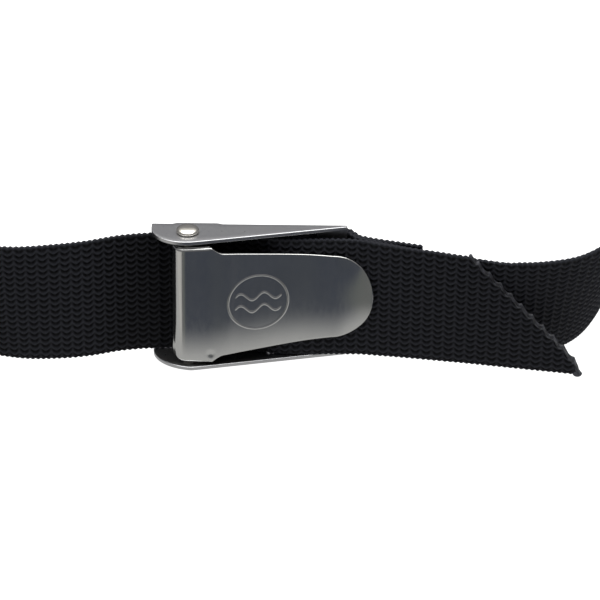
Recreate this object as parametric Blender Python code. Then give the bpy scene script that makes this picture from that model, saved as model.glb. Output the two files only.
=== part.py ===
"""Dive weight belt: nylon webbing closed by a stainless cam-lever buckle.

The belt stands on its lower edge as a closed waist loop, +Z up, in metres.
The buckle is at the front and faces -Y.  The origin is at the middle of the
belt's footprint, on the surface that it stands on.

Buckle coordinates: u runs along the buckle from its left end (+X), v runs
across the webbing from the middle (+Z) and h is the height above the back of
the base plate, towards the front (-Y).  Belt stations use x from the middle
of the buckle and y from the back of the base plate.
"""
import math

import bmesh
import bpy
from mathutils import Vector

MM = 0.001

# Where the buckle is in the loop, which puts the origin in the middle of the footprint
BUCKLE_X = -13.25 * MM       # middle of the buckle
BUCKLE_Y = -203.2 * MM       # back face of the base plate
BUCKLE_Z = 29.15 * MM        # middle of the buckle above the table

# Webbing
WEB_WIDTH = 50.0 * MM
WEB_THICK = 2.0 * MM
NODE_GAP = 0.3 * MM

# Frame, a pressed channel of stainless sheet
SHEET = 1.5 * MM
FRAME_LENGTH = 75.0 * MM
FRAME_WIDTH = 55.9 * MM
FRAME_BEND = 1.7 * MM        # outer radius between base and ear
EAR_HEIGHT = 16.8 * MM
EAR_NOSE = (13.0 * MM, 12.0 * MM)      # radii of the rounded left end of an ear
EAR_TAPER_FROM = 15.0 * MM
EAR_END_HEIGHT = 2.4 * MM
TROUGH = (8.0 * MM, 9.5 * MM, 25.5 * MM, 27.0 * MM)
TROUGH_DEPTH = 0.8 * MM
SLOTS = ((44.5 * MM, 50.0 * MM), (58.0 * MM, 63.5 * MM))
SLOT_LENGTH = 51.6 * MM

# Hinge pin, riveted over at both ends
PIN_U = 14.0 * MM
PIN_H = 8.0 * MM
PIN_RADIUS = 2.5 * MM
PIN_HOLE_RADIUS = 2.8 * MM
HEAD_RADIUS = 4.5 * MM
HEAD_HEIGHT = 1.2 * MM

# Cam lever
CAM_RADIUS = 4.6 * MM
LIP_END_ANGLE = 276.0
BEND_RADIUS = 4.1 * MM
BEND_H = 11.4 * MM
TAB_HALF_WIDTH = 24.7 * MM
TAB_END_U = 23.0 * MM
NECK = (28.5 * MM, 22.0 * MM)          # u and half width where the taper starts
TIP_CENTRE_U = 69.5 * MM
TIP_HALF_WIDTH = 17.7 * MM
LEVER_TIP_U = 85.2 * MM
LEVER_SKEW = 0.6 * MM         # how far the tip leans up, by the hinge's play
TIP_STATIONS = (0.3, 1.0, 2.2, 4.0)    # mm from the tip, where its rounding is drawn
# Outer face of the lever, tip to bend: u and h in mm
LEVER_FACE = ((85.2, 8.75), (80.0, 8.0), (73.0, 7.6), (67.0, 7.65), (61.0, 8.0), (57.0, 8.5),
              (49.3, 9.85), (41.7, 11.4), (34.0, 13.0), (28.5, 14.3), (23.0, 15.1), (13.5, 15.5))
TEETH = 13
TOOTH_DEPTH = 1.1 * MM

# Webbing routes, mid surface, in mm: x, y and z of the lower edge, x and y of
# the upper edge.  The upper edge's z follows from the webbing's width.
FREE_END = ((-37.8, -2.85, 3.95, -37.8, -2.85), (-33, -2.85, 3.9, -33, -2.85),
            (-30, -2.78, 3.87, -30, -2.78), (-28.2, -2.35, 3.85, -28.2, -2.35),
            (-26.8, -2.02, 3.83, -26.8, -2.02), (-24, -1.98, 3.8, -24, -1.98),
            (-17, -1.98, 3.72, -17, -1.98), (-13.5, -2.3, 3.68, -13.5, -2.3),
            (-10, -2.95, 3.65, -10, -2.95), (-3, -3.15, 3.57, -3, -3.15),
            (4, -3.9, 3.5, 4, -3.9), (10.5, -5.1, 3.42, 10.5, -5.1),
            (22, -5.1, 3.3, 22, -5.1), (27, -4.85, 3.25, 27, -4.85),
            (31, -4.6, 3.2, 31, -4.6), (37, -4.35, 3.1, 37, -4.75),
            (43, -4.15, 3.0, 43, -5.55), (50, -4.8, 2.85, 50, -7.4),
            (60, -5.7, 2.6, 60, -9.8), (72, -7.2, 2.3, 72, -12.5),
            (84, -8.6, 2.0, 84, -15.2))
FREE_END_TIP = (128.0, -15.0, 1.0, 84.6, -15.3)     # the slanting cut, lower and upper corner
LEFT_SIDE = ((-38.1, -2.85, 3.95, -38.1, -2.85), (-50, -3.9, 3.3, -50, -4.0),
             (-62, -6.3, 2.2, -62, -6.6), (-74, -6.3, 0.9, -74, -7.3),
             (-90, -4.9, 0.1, -91, -8.2), (-107, 1, 0, -110, -4.2),
             (-124, 15.8, 0, -128, 12.2), (-138, 40, 0, -142, 38),
             (-146.5, 75, 0, -149, 74), (-150.5, 120, 0, -151.5, 120),
             (-152, 170, 0, -152, 170))
BACK = ((-152, 170, 0, -152, 170), (-152, 200, 0, -152, 200), (-152, 230, 0, -152, 230),
        (-150.5, 283, 0, -150.5, 283), (-146, 330, 0, -146, 330), (-133, 372, 0, -133, 372),
        (-108, 401, 0, -108, 401), (-70, 417, 0, -70, 417), (-30, 422, 0, -30, 422),
        (-10, 422, 0, -10, 422), (30, 422, 0, 30, 422), (50, 422, 0, 50, 422),
        (90, 418, 0, 90, 418), (132, 407, 0, 132, 407), (159, 384, 0, 159, 384),
        (173, 350, 0, 173, 350), (178, 310, 0, 178, 310), (178.5, 250, 0, 178.5, 250))
RIGHT_SIDE = ((178.5, 250, 0, 178.5, 250), (175, 205, 0, 175.5, 205), (168, 160, 0, 169.5, 159.5),
              (160, 120, 0, 163.5, 119), (151.5, 85, 0, 158, 82.5), (143.5, 55, 0, 152.5, 50),
              (136.8, 33.6, 0, 148.4, 26), (130, 18.8, 0, 140.3, 7.5), (122.3, 9.3, 0, 127.4, -6),
              (110.2, 0.6, 0.1, 111.5, -13), (98, -5.2, 0.25, 98.6, -15), (86.6, -6.2, 0.5, 86.6, -13.2),
              (75, -4.8, 0.8, 75, -10.7), (65, -3.6, 1.3, 65, -8.5), (58, -2.8, 1.8, 58, -6.9),
              (50, -2.2, 2.4, 50, -5.0), (44, -1.5, 2.9, 44, -3.2), (41, -0.6, 3.2, 41, -1.9),
              (39, 1.1, 3.4, 39, 0.4), (37.4, 1.55, 3.6, 37.4, 1.4), (33, 1.35, 3.65, 33, 1.35))
# Fold through the slots and the tail behind it: x and y of both edges in mm
FOLD = ((32.7, 1.35), (28.8, 1.4), (26.9, 1.4), (24.9, 0.95), (23.5, -0.1), (22.6, -1.4),
        (21.9, -2.35), (20.4, -2.85), (12.5, -2.85), (10.9, -2.2), (9.9, -0.8), (9.7, 0.9),
        (10.4, 2.6), (12.1, 3.55), (14.5, 3.7), (20, 3.7))
FOLD_Z = 3.65
TAIL = ((20.3, 3.7, 3.65, 20.3, 3.7), (30, 3.7, 3.65, 30, 3.7), (37.4, 3.95, 3.6, 37.4, 3.6),
        (39.2, 3.7, 3.4, 39.2, 3.1), (41.8, 2.2, 3.0, 41.8, 0.7), (45, 1.0, 2.7, 45, -0.8),
        (51, 0.2, 2.4, 51, -2.6), (58, -0.4, 2.1, 58, -4.5), (66.3, -1.3, 1.8, 66.3, -6.3))


# ---------------------------------------------------------------- helpers

def clear_scene():
    for obj in list(bpy.data.objects):
        bpy.data.objects.remove(obj, do_unlink=True)


def material(name, colour, roughness, metallic):
    mat = bpy.data.materials.new(name)
    mat.use_nodes = True
    shader = mat.node_tree.nodes["Principled BSDF"]
    shader.inputs["Base Color"].default_value = (*colour, 1.0)
    shader.inputs["Roughness"].default_value = roughness
    shader.inputs["Metallic"].default_value = metallic
    return mat


def buckle_point(u, v, h):
    """World position of a point given in buckle coordinates."""
    return Vector((BUCKLE_X + u - FRAME_LENGTH / 2, BUCKLE_Y - h, BUCKLE_Z + v))


def add_object(name, bm, mat, origin=(0.0, 0.0, 0.0), smooth_angle=None):
    """Link a mesh as an object with its origin at the given world point."""
    bmesh.ops.recalc_face_normals(bm, faces=bm.faces)
    bmesh.ops.translate(bm, verts=bm.verts, vec=-Vector(origin))
    mesh = bpy.data.meshes.new(name)
    bm.to_mesh(mesh)
    bm.free()
    if smooth_angle is not None:
        mesh.shade_smooth()
        mesh.set_sharp_from_angle(angle=smooth_angle)
    mesh.materials.append(mat)
    obj = bpy.data.objects.new(name, mesh)
    obj.location = origin
    bpy.context.scene.collection.objects.link(obj)
    return obj


def add_boolean(obj, other, operation, solver="EXACT"):
    """Join or cut with another object, which then counts as a tool only."""
    other.hide_render = True
    other.display_type = "WIRE"
    modifier = obj.modifiers.new(operation.title(), "BOOLEAN")
    modifier.operation = operation
    modifier.solver = solver
    modifier.object = other


def spline(points, steps):
    """A smooth curve (centripetal Catmull-Rom) through points of any dimension."""
    pts = [Vector(p) for p in points]
    pts = [2 * pts[0] - pts[1]] + pts + [2 * pts[-1] - pts[-2]]
    out = []
    for a, b, c, d in zip(pts, pts[1:], pts[2:], pts[3:]):
        t1 = max((b - a).length, 1e-9) ** 0.5
        t2 = t1 + max((c - b).length, 1e-9) ** 0.5
        t3 = t2 + max((d - c).length, 1e-9) ** 0.5
        for i in range(steps):
            t = t1 + (t2 - t1) * i / steps
            ab = a + (b - a) * t / t1
            bc = b + (c - b) * (t - t1) / (t2 - t1)
            cd = c + (d - c) * (t - t2) / (t3 - t2)
            abc = ab + (bc - ab) * t / t2
            bcd = bc + (cd - bc) * (t - t1) / (t3 - t1)
            out.append(abc + (bcd - abc) * (t - t1) / (t2 - t1))
    return out + [pts[-2]]


def extrude_outline(outline, to_point, low, high):
    """A solid from a closed 2-D outline, swept between two values of v."""
    bm = bmesh.new()
    rings = [[bm.verts.new(to_point(a, b, v)) for a, b in outline] for v in (low, high)]
    bm.faces.new(rings[0])
    bm.faces.new(rings[1])
    count = len(outline)
    for i in range(count):
        j = (i + 1) % count
        bm.faces.new((rings[0][i], rings[0][j], rings[1][j], rings[1][i]))
    return bm


def side_point(u, h, v):
    return buckle_point(u, v, h)


def arc(centre, radius_a, radius_b, start, end, count):
    """Points on an ellipse arc, angles in degrees."""
    out = []
    for i in range(count + 1):
        angle = math.radians(start + (end - start) * i / count)
        out.append((centre[0] + radius_a * math.cos(angle), centre[1] + radius_b * math.sin(angle)))
    return out


def loft(sections, closed_ends=True):
    """A closed skin over a list of rings that have the same number of points."""
    bm = bmesh.new()
    rings = [[bm.verts.new(p) for p in ring] for ring in sections]
    count = len(rings[0])
    for a, b in zip(rings, rings[1:]):
        for i in range(count):
            j = (i + 1) % count
            bm.faces.new((a[i], a[j], b[j], b[i]))
    if closed_ends:
        bm.faces.new(rings[0])
        bm.faces.new(rings[-1])
    return bm


# ---------------------------------------------------------------- webbing

def edge_pair(station, keep_width=True):
    """Lower and upper edge points of a webbing station, in world metres."""
    x0, y0, z0, x1, y1 = station
    spread = math.hypot(x1 - x0, y1 - y0)
    width = WEB_WIDTH / MM
    rise = math.sqrt(width ** 2 - spread ** 2) if keep_width else width * 0.99
    shift = Vector((BUCKLE_X, BUCKLE_Y, 0.0))
    low = Vector((x0, y0, z0)) * MM + shift
    high = Vector((x1, y1, z0 + rise)) * MM + shift
    return low, high


def rested(section):
    """The section lifted so that a leaning lower edge stands on the table, not in it."""
    dip = min(0.0, min(p.z for p in section))
    return [p - Vector((0.0, 0.0, dip)) for p in section]


def webbing_sections(pairs):
    """Four-cornered sections of the webbing, square to its run."""
    half = WEB_THICK / 2
    sections = []
    for i, (low, high) in enumerate(pairs):
        before = pairs[max(i - 1, 0)]
        after = pairs[min(i + 1, len(pairs) - 1)]
        along_low = (after[0] - before[0]).normalized()
        along_high = (after[1] - before[1]).normalized()
        across = high - low
        out_low = along_low.cross(across).normalized() * half
        out_high = along_high.cross(across).normalized() * half
        corners = (low + out_low, low - out_low, high - out_high, high + out_high)
        sections.append(rested(corners))
    return sections


def make_webbing(name, stations, mat, steps=3, tip=None):
    pairs = [edge_pair(s) for s in spline(stations, steps)]
    sections = webbing_sections(pairs)
    if tip is not None:
        low, high = edge_pair(tip, keep_width=False)
        end_low = low - pairs[-1][0]
        lower = [p + end_low for p in sections[-1][:2]]
        end_high = high - pairs[-1][1]
        upper = [p + end_high for p in sections[-1][2:]]
        sections.append(lower + upper)
    return add_object(name, loft(sections), mat, smooth_angle=math.radians(40))


def make_fold(mat):
    stations = [(x, y, FOLD_Z, x, y) for x, y in FOLD]
    return make_webbing("webbing_slot_fold", stations, mat, steps=3)


def make_all_webbing(mat):
    make_webbing("webbing_free_end", FREE_END, mat, steps=2, tip=FREE_END_TIP)
    make_webbing("webbing_left_side", LEFT_SIDE, mat)
    make_webbing("webbing_back", shortened(BACK), mat)
    make_webbing("webbing_right_side", RIGHT_SIDE, mat)
    make_fold(mat)
    make_webbing("webbing_tail", TAIL, mat, steps=2)


def shortened(stations):
    """The same stations with a small gap left at both ends."""
    gap = NODE_GAP / MM
    first, last = list(stations[0]), list(stations[-1])
    first[1] += gap
    first[4] += gap
    last[1] += gap
    last[4] += gap
    return (tuple(first),) + tuple(stations[1:-1]) + (tuple(last),)


# ---------------------------------------------------------------- buckle frame

def channel_section(u, drop):
    """The U-shaped section of the frame at u, its base lowered by drop."""
    half = FRAME_WIDTH / 2
    inner = FRAME_BEND - SHEET
    top = EAR_HEIGHT + SHEET
    outer_arc = arc((half - FRAME_BEND, FRAME_BEND - drop), FRAME_BEND, FRAME_BEND, 270, 360, 5)
    inner_arc = arc((half - FRAME_BEND, FRAME_BEND - drop), inner, inner, 360, 270, 5)
    right = outer_arc + [(half, top), (half - SHEET, top)] + inner_arc
    left = [(-v, h) for v, h in reversed(right)]
    outline = right + left
    return [buckle_point(u, v, h) for v, h in outline]


def ear_outline():
    """Side view of the frame: everything under the free edge of the ears."""
    nose = arc((EAR_NOSE[0], EAR_HEIGHT - EAR_NOSE[1]), EAR_NOSE[0], EAR_NOSE[1], 180, 90, 10)
    low = -4 * SHEET
    taper = [(EAR_TAPER_FROM + 0.4 * MM, EAR_HEIGHT - 0.12 * MM), (FRAME_LENGTH, EAR_END_HEIGHT)]
    return [(0.0, low)] + nose + taper + [(FRAME_LENGTH, low)]


def make_frame(mat):
    stations = [-1 * MM, TROUGH[0], TROUGH[1], TROUGH[2], TROUGH[3], FRAME_LENGTH + 1 * MM]
    drops = [0.0, 0.0, TROUGH_DEPTH, TROUGH_DEPTH, 0.0, 0.0]
    sections = [channel_section(u, drop) for u, drop in zip(stations, drops)]
    frame = add_object("buckle_frame", loft(sections), mat, smooth_angle=math.radians(30))
    side = extrude_outline(ear_outline(), side_point, -FRAME_WIDTH, FRAME_WIDTH)
    add_boolean(frame, add_object("ear_profile_tool", side, mat), "INTERSECT")
    for i, (start, end) in enumerate(SLOTS):
        outline = [(start, -5 * SHEET), (end, -5 * SHEET), (end, 5 * SHEET), (start, 5 * SHEET)]
        slot = extrude_outline(outline, side_point, -SLOT_LENGTH / 2, SLOT_LENGTH / 2)
        add_boolean(frame, add_object(f"slot_tool_{i + 1}", slot, mat), "DIFFERENCE")
    add_boolean(frame, pin_hole_tool("frame_pin_hole_tool", mat), "DIFFERENCE")
    return frame


def pin_hole_tool(name, mat):
    outline = arc((PIN_U, PIN_H), PIN_HOLE_RADIUS, PIN_HOLE_RADIUS, 0, 345, 23)
    return add_object(name, extrude_outline(outline, side_point, -FRAME_WIDTH, FRAME_WIDTH), mat)


# ---------------------------------------------------------------- hinge pin

def make_pin(mat):
    """A turned pin: a shank with a domed head at each end."""
    seat = FRAME_WIDTH / 2 + NODE_GAP
    rim = seat + 0.25 * MM
    crown = FRAME_WIDTH / 2 + HEAD_HEIGHT
    upper = [(PIN_RADIUS, seat), (HEAD_RADIUS, seat), (HEAD_RADIUS, rim)]
    upper += [(HEAD_RADIUS * math.cos(a), rim + (crown - rim) * math.sin(a))
              for a in (0.45, 0.85, 1.2)]
    profile = [(r, -v) for r, v in reversed(upper)] + upper
    sides = 24
    bm = bmesh.new()
    rings = []
    for radius, v in profile:
        ring = []
        for i in range(sides):
            angle = 2 * math.pi * i / sides
            u = PIN_U + radius * math.cos(angle)
            h = PIN_H + radius * math.sin(angle)
            ring.append(bm.verts.new(buckle_point(u, v, h)))
        rings.append(ring)
    for a, b in zip(rings, rings[1:]):
        for i in range(sides):
            j = (i + 1) % sides
            bm.faces.new((a[i], a[j], b[j], b[i]))
    for ring, v in ((rings[0], -crown), (rings[-1], crown)):
        centre = bm.verts.new(buckle_point(PIN_U, v, PIN_H))
        for i in range(sides):
            bm.faces.new((ring[i], ring[(i + 1) % sides], centre))
    origin = buckle_point(PIN_U, 0.0, PIN_H)
    return add_object("hinge_pin", bm, mat, origin, smooth_angle=math.radians(35))


# ---------------------------------------------------------------- cam lever

def lever_half_width(u):
    if u > TIP_CENTRE_U:
        reach = (u - TIP_CENTRE_U) / (LEVER_TIP_U - TIP_CENTRE_U)
        return TIP_HALF_WIDTH * math.sqrt(max(1.0 - reach ** 2, 0.003))
    if u > NECK[0]:
        part = (u - NECK[0]) / (TIP_CENTRE_U - NECK[0])
        return NECK[1] + (TIP_HALF_WIDTH - NECK[1]) * part
    if u > TAB_END_U:
        part = (u - TAB_END_U) / (NECK[0] - TAB_END_U)
        return TAB_HALF_WIDTH + (NECK[1] - TAB_HALF_WIDTH) * math.sin(part * math.pi / 2)
    return TAB_HALF_WIDTH


def lever_lean(u):
    """How far the lever's centre line is above the buckle's at u."""
    return LEVER_SKEW * max(0.0, u - NECK[0]) / (LEVER_TIP_U - NECK[0])


def lever_profile():
    """Outer face of the lever in side view, from the tip round to the lip."""
    face = [(p.x * MM, p.y * MM) for p in spline(LEVER_FACE, 3)]
    tip = [LEVER_TIP_U - reach * MM for reach in TIP_STATIONS]
    round_end = [(u, face_height(face, u)) for u in tip]
    face = [face[0]] + round_end + [p for p in face if p[0] < tip[-1] - 1 * MM]
    bend = arc((PIN_U - CAM_RADIUS + BEND_RADIUS, BEND_H), BEND_RADIUS, BEND_RADIUS, 90, 180, 6)
    cam = arc((PIN_U, PIN_H), CAM_RADIUS, CAM_RADIUS, 180, LIP_END_ANGLE, 10)
    return face[:-1] + bend + cam


def face_height(face, u):
    for (ua, ha), (ub, hb) in zip(face, face[1:]):
        if ub <= u <= ua:
            return ha + (hb - ha) * (ua - u) / (ua - ub)
    return face[-1][1]


def offset_inwards(profile, distance):
    """The profile moved to its left-hand side, which is the lever's inside."""
    out = []
    for i, point in enumerate(profile):
        a = Vector(profile[max(i - 1, 0)])
        b = Vector(profile[min(i + 1, len(profile) - 1)])
        along = (b - a).normalized()
        out.append((point[0] - along.y * distance, point[1] + along.x * distance))
    return out


def lever_strip():
    outer = lever_profile()
    inner = offset_inwards(outer, SHEET)
    sections = []
    for (uo, ho), (ui, hi) in zip(outer, inner):
        w = lever_half_width(uo)
        low, high = lever_lean(uo) - w, lever_lean(uo) + w
        sections.append((buckle_point(uo, low, ho), buckle_point(uo, high, ho),
                         buckle_point(ui, high, hi), buckle_point(ui, low, hi)))
    return loft(sections)


def cheek_outline():
    """Side view of one cheek, which the pin runs through."""
    middle = offset_inwards(lever_profile(), SHEET / 2)
    edge = [p for p in middle if p[0] < TAB_END_U and p[1] > PIN_H - CAM_RADIUS]
    corner = (TAB_END_U - 0.2 * MM, PIN_H + 5.2 * MM)
    back = arc((PIN_U, PIN_H), CAM_RADIUS - 0.2 * MM, CAM_RADIUS - 0.2 * MM, -78, 25, 7)
    return edge + back + [corner, (TAB_END_U - 0.1 * MM, PIN_H + 6.4 * MM)]


def lip_teeth():
    """The serrated edge of the lip, which bites into the webbing."""
    width = 2 * (TAB_HALF_WIDTH - 1.0 * MM)
    pitch = width / TEETH
    start = -width / 2
    tips = []
    for i in range(TEETH):
        tips += [(start + pitch * i, 0.0), (start + pitch * (i + 0.5), TOOTH_DEPTH)]
    outline = [(start, -1.0 * MM)] + tips + [(start + width, 0.0), (start + width, -1.0 * MM)]
    angle = math.radians(LIP_END_ANGLE)
    along = Vector((-math.sin(angle), math.cos(angle)))
    out = Vector((math.cos(angle), math.sin(angle)))
    base = Vector((PIN_U, PIN_H))

    def lip_point(v, reach, radius):
        place = base + out * radius + along * reach
        return buckle_point(place.x, v, place.y)

    return extrude_outline(outline, lip_point, CAM_RADIUS - SHEET + 0.1 * MM, CAM_RADIUS - 0.1 * MM)


def make_lever(mat):
    origin = buckle_point(PIN_U, 0.0, PIN_H)
    lever = add_object("cam_lever", lever_strip(), mat, origin, smooth_angle=math.radians(30))
    for name, side in (("upper_cheek_tool", 1), ("lower_cheek_tool", -1)):
        outer = TAB_HALF_WIDTH - 0.1 * MM
        faces = sorted((side * outer, side * (outer - SHEET)))
        cheek = extrude_outline(cheek_outline(), side_point, *faces)
        add_boolean(lever, add_object(name, cheek, mat), "UNION", "MANIFOLD")
    add_boolean(lever, add_object("teeth_tool", lip_teeth(), mat), "UNION", "MANIFOLD")
    add_boolean(lever, pin_hole_tool("lever_pin_hole_tool", mat), "DIFFERENCE", "MANIFOLD")
    return lever


# ---------------------------------------------------------------- assembly

def main():
    clear_scene()
    nylon = material("black_nylon", (0.012, 0.013, 0.016), 0.85, 0.0)
    steel = material("brushed_steel", (0.55, 0.54, 0.52), 0.33, 1.0)
    lever_steel = material("lever_steel", (0.50, 0.50, 0.49), 0.28, 1.0)
    pin_steel = material("pin_steel", (0.70, 0.67, 0.62), 0.22, 1.0)
    make_all_webbing(nylon)
    make_frame(steel)
    make_pin(pin_steel)
    make_lever(lever_steel)


main()
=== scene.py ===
"""Looks of the dive weight belt: black nylon webbing and a stainless cam-lever buckle.

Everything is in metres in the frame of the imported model, +Z up, with the buckle at the front
facing -Y.  Lengths in the tables below are in millimetres.  Buckle coordinates are u along
the buckle from its left end, v across it from the middle and h the height above the back of
the base plate.
"""
import math

import bmesh
import bpy
import numpy as np
from mathutils import Matrix, Vector


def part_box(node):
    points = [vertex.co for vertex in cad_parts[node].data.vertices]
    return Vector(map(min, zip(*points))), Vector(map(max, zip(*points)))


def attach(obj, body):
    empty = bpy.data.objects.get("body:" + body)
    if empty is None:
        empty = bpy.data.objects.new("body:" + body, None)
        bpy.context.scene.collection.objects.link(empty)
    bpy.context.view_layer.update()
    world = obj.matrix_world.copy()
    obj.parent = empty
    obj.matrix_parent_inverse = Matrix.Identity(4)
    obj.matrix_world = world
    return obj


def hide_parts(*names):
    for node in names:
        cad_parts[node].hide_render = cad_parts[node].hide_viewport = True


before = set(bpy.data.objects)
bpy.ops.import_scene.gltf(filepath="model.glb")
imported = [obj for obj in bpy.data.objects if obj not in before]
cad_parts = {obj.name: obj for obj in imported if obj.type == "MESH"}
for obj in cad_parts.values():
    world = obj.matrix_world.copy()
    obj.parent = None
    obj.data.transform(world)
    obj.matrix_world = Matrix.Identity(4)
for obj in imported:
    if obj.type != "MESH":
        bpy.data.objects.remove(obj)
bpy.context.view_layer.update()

MM = 0.001

# ------------------------------------------------------------------ sizes
# The buckle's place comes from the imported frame
FRAME_LOW, FRAME_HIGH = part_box("buckle_frame")
PIN_LOW, PIN_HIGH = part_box("hinge_pin")
TROUGH_DEPTH = 0.8
BUCKLE_X = (FRAME_LOW.x + FRAME_HIGH.x) / 2 / MM
BUCKLE_Y = FRAME_HIGH.y / MM - TROUGH_DEPTH
BUCKLE_Z = (FRAME_LOW.z + FRAME_HIGH.z) / 2 / MM
FRAME_LENGTH = (FRAME_HIGH.x - FRAME_LOW.x) / MM
FRAME_HALF = (FRAME_HIGH.z - FRAME_LOW.z) / 2 / MM
PIN_U = (PIN_LOW.x + PIN_HIGH.x) / 2 / MM - BUCKLE_X + FRAME_LENGTH / 2
PIN_H = BUCKLE_Y - (PIN_LOW.y + PIN_HIGH.y) / 2 / MM

WEB_WIDTH = 50.0
WEB_THICK = 2.0
SHEET = 1.5

# Webbing: x, y and z of the lower edge, x and y of the upper edge, from the middle of the
# buckle's back.  One strip, from its cut free end to its tail.
TONGUE = ((130, -15.3, 0.98, 130, -21.9), (106, -11.8, 1.5, 106, -18.4), (84, -8.6, 2.0, 84, -15.2),
          (72, -7.2, 2.3, 72, -12.5), (60, -5.7, 2.6, 60, -9.8), (50, -4.8, 2.85, 50, -6.95),
          (43, -4.15, 3.0, 43, -4.95), (37, -4.35, 3.1, 37, -4.5), (31, -4.6, 3.2, 31, -4.6),
          (27, -4.85, 3.25, 27, -4.85), (22, -5.1, 3.3, 22, -5.1), (10.5, -5.1, 3.42, 10.5, -5.1),
          (4, -3.9, 3.5, 4, -3.9), (-3, -3.15, 3.57, -3, -3.15), (-10, -2.95, 3.65, -10, -2.95),
          (-13.5, -2.2, 3.68, -13.5, -2.2), (-17, -1.8, 3.72, -17, -1.8),
          (-24, -1.8, 3.8, -24, -1.8), (-26.8, -1.84, 3.83, -26.8, -1.84),
          (-28.2, -2.25, 3.85, -28.2, -2.25), (-30, -2.78, 3.87, -30, -2.78),
          (-33, -2.85, 3.9, -33, -2.85))
LEFT_SIDE = ((-38, -2.85, 3.95, -38, -2.85), (-50, -3.9, 3.3, -50, -4.0), (-62, -6.3, 2.2, -62, -6.6),
             (-74, -6.3, 0.9, -74, -7.3), (-90, -4.9, 0.1, -91, -8.2), (-107, 1, 0, -110, -4.2),
             (-124, 15.8, 0, -128, 12.2), (-138, 40, 0, -142, 38), (-146.5, 75, 0, -149, 74),
             (-150.5, 120, 0, -151.5, 120))
BACK = ((-152, 170, 0, -152, 170), (-152, 200, 0, -152, 200), (-152, 230, 0, -152, 230),
        (-150.5, 283, 0, -150.5, 283), (-146, 330, 0, -146, 330), (-133, 372, 0, -133, 372),
        (-108, 401, 0, -108, 401), (-70, 417, 0, -70, 417), (-30, 422, 0, -30, 422),
        (-10, 422, 0, -10, 422), (30, 422, 0, 30, 422), (50, 422, 0, 50, 422),
        (90, 418, 0, 90, 418), (132, 407, 0, 132, 407), (159, 384, 0, 159, 384),
        (173, 350, 0, 173, 350), (178, 310, 0, 178, 310))
RIGHT_SIDE = ((178.5, 250, 0, 178.5, 250), (175, 205, 0, 175.5, 205), (168, 160, 0, 169.5, 159.5),
              (160, 120, 0, 163.5, 119), (151.5, 85, 0, 158, 82.5), (143.5, 55, 0, 152.5, 50),
              (136.8, 33.6, 0, 148.4, 26), (130, 18.8, 0, 140.3, 7.5), (122.3, 9.3, 0, 127.4, -6),
              (110.2, 0.6, 0.1, 111.5, -13), (98, -5.2, 0.25, 98.6, -15),
              (86.6, -6.2, 0.5, 86.6, -13.2), (75, -4.8, 0.8, 75, -10.7), (65, -3.6, 1.3, 65, -8.5),
              (58, -2.8, 1.8, 58, -6.9), (50, -2.2, 2.4, 50, -5.0), (44, -1.5, 2.9, 44, -3.3),
              (41, -0.6, 3.2, 41, -2.3), (39, 1.1, 3.4, 39, 0.0), (37.4, 1.55, 3.6, 37.4, 1.4))
FOLD_Z = 3.65
FOLD = ((32.7, 1.35), (28.8, 1.4), (26.9, 1.4), (24.9, 0.95), (23.5, -0.1), (22.6, -1.4),
        (21.9, -2.35), (20.4, -2.85), (12.5, -2.85), (10.9, -2.2), (9.9, -0.8), (9.7, 0.9),
        (10.4, 2.6), (12.1, 3.55), (14.5, 3.7), (20, 3.7))
TAIL = ((30, 3.7, 3.65, 30, 3.7), (37.4, 3.95, 3.6, 37.4, 3.6), (39.2, 3.7, 3.3, 39.2, 2.6),
        (41.8, 2.2, 2.7, 41.8, 0.0), (45, 1.0, 2.4, 45, -1.2), (51, 0.2, 2.2, 51, -2.8),
        (58, -0.4, 2.1, 58, -4.5), (66.3, -1.3, 1.8, 66.3, -6.3))


def buckle_point(u, v, h):
    """World position of a point given in buckle coordinates, in mm."""
    return Vector((BUCKLE_X + u - FRAME_LENGTH / 2, BUCKLE_Y - h, BUCKLE_Z + v)) * MM


def smooth(edge0, edge1, x):
    """A soft step from 0 at edge0 to 1 at edge1."""
    t = np.clip((np.asarray(x, float) - edge0) / (edge1 - edge0), 0.0, 1.0)
    return t * t * (3 - 2 * t)


# ------------------------------------------------------------------ camera
CAMERA_DISTANCE = 1.3
CAMERA_ELEVATION = 0.4894
CAMERA_AZIMUTH = -0.0042
CAMERA_ROLL = 0.0088
CAMERA_LENS = 200.9
CAMERA_TARGET = (19.56, 24.15)      # along from the buckle's middle, and above the floor


def make_camera():
    """The photo's viewpoint: a long lens, in front of the buckle and above it."""
    data = bpy.data.cameras.new("camera")
    data.lens = CAMERA_LENS
    data.sensor_width = 36.0
    data.clip_end = 50.0
    camera = bpy.data.objects.new("camera", data)
    bpy.context.scene.collection.objects.link(camera)
    ce, se = math.cos(CAMERA_ELEVATION), math.sin(CAMERA_ELEVATION)
    ca, sa = math.cos(CAMERA_AZIMUTH), math.sin(CAMERA_AZIMUTH)
    forward = Vector((sa * ce, ca * ce, -se))
    level = Vector((ca, -sa, 0.0))
    upright = level.cross(forward)
    cr, sr = math.cos(CAMERA_ROLL), math.sin(CAMERA_ROLL)
    right = level * cr + upright * sr
    up = upright * cr - level * sr
    target = buckle_point(FRAME_LENGTH / 2 + CAMERA_TARGET[0], CAMERA_TARGET[1] - BUCKLE_Z, 0.0)
    rotation = Matrix((right, up, -forward)).transposed().to_4x4()
    camera.matrix_world = Matrix.Translation(target - forward * CAMERA_DISTANCE) @ rotation
    bpy.context.scene.camera = camera


make_camera()


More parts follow.
